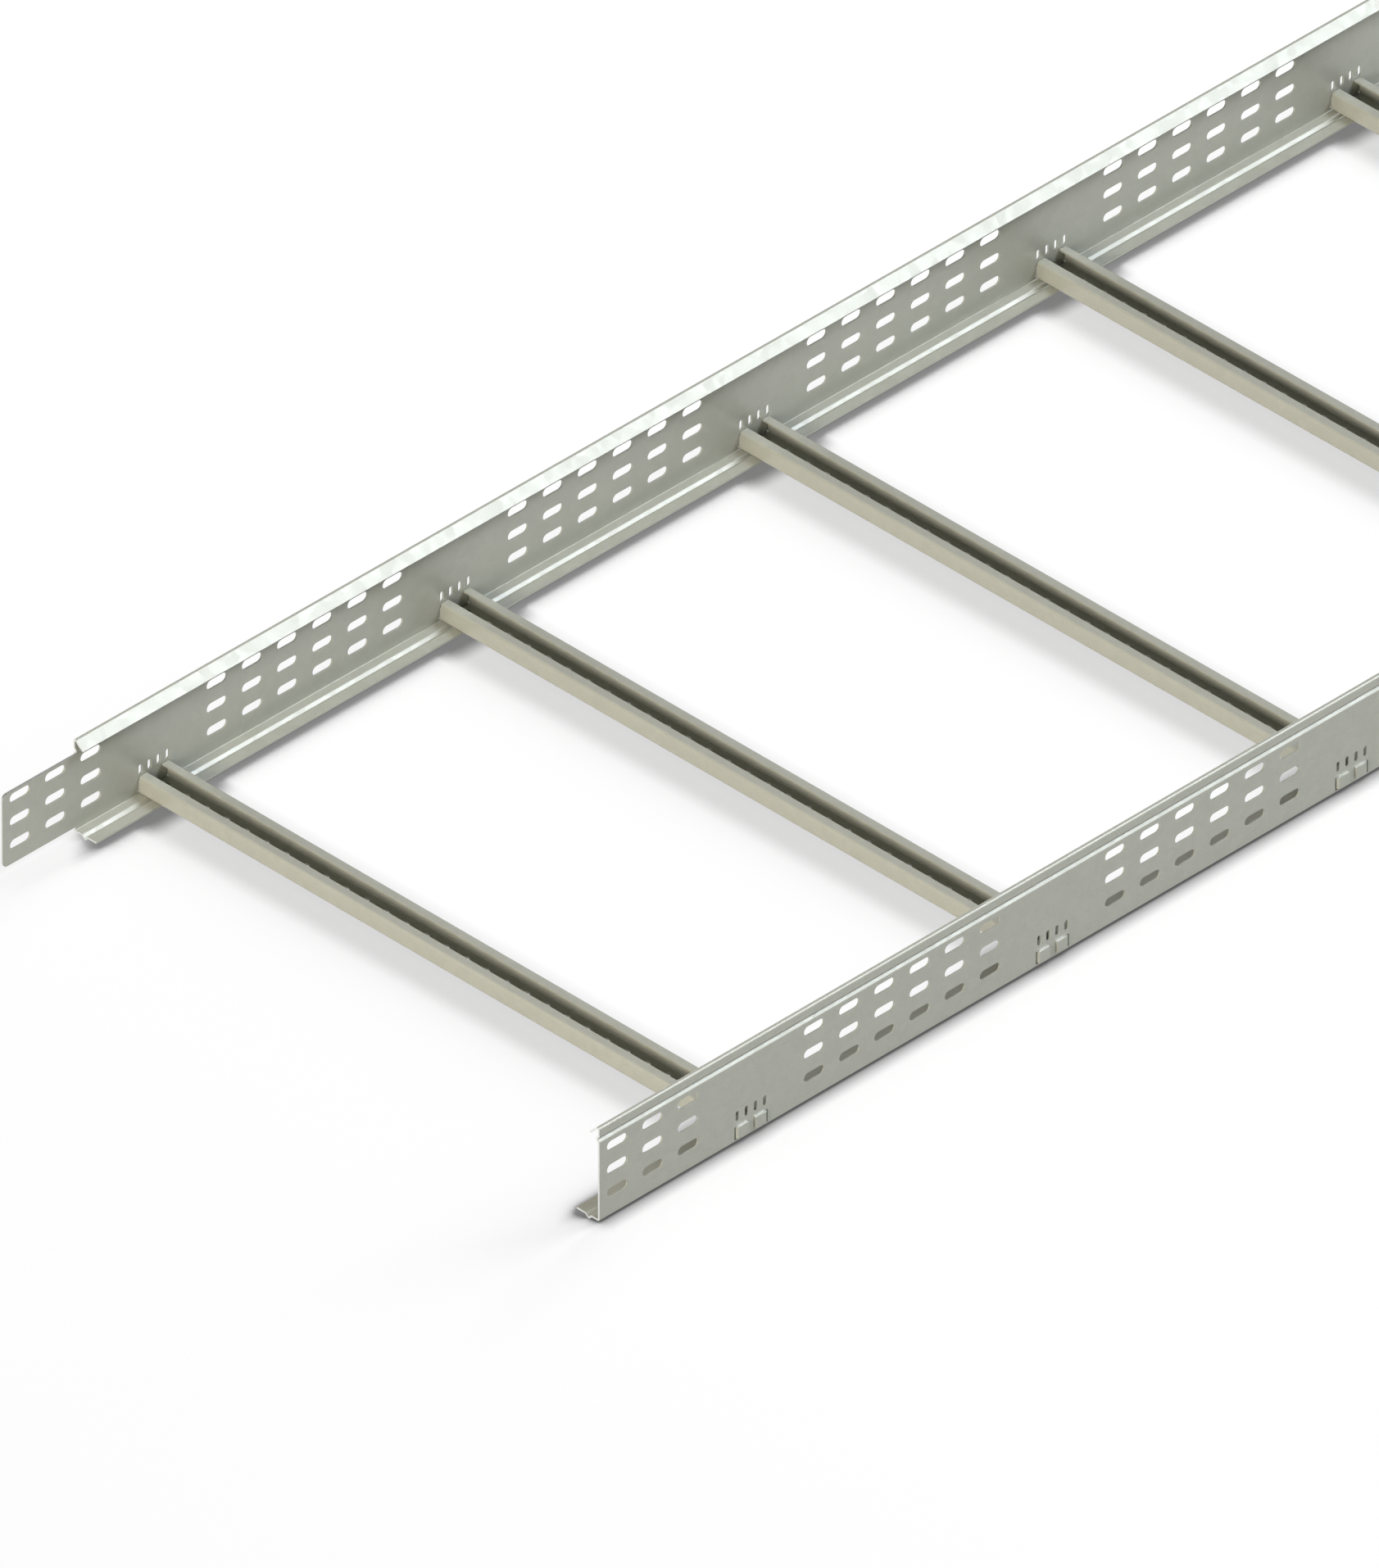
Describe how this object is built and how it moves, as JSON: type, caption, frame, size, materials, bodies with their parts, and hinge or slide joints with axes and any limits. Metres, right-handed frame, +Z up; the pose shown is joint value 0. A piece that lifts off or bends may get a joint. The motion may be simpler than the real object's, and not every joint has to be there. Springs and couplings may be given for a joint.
{
  "type": "cable ladder section",
  "caption": "Straight length of galvanised steel cable ladder: perforated C side rails, clenched channel rungs, a coupling tongue at two opposite corners.",
  "frame": {"origin": "middle of the length and width, at the underside of the side rails' stiffening beads", "axes": "+X along the side rails, +Y across the ladder, +Z up, out of the rungs' mouths"},
  "size_m": [3, 0.6, 0.0824],
  "materials": {
    "rail_steel": "pre-galvanised sheet, satin",
    "rung_steel": "pre-galvanised sheet, satin, slightly warmer"
  },
  "bodies": {
    "root": {"side_rail_near": "rail_steel", "side_rail_far": "rail_steel", "rung_01": "rung_steel", "rung_02": "rung_steel", "rung_03": "rung_steel", "rung_04": "rung_steel", "rung_05": "rung_steel", "rung_06": "rung_steel", "rung_07": "rung_steel", "rung_08": "rung_steel", "rung_09": "rung_steel", "rung_10": "rung_steel"}
  },
  "joints": []
}
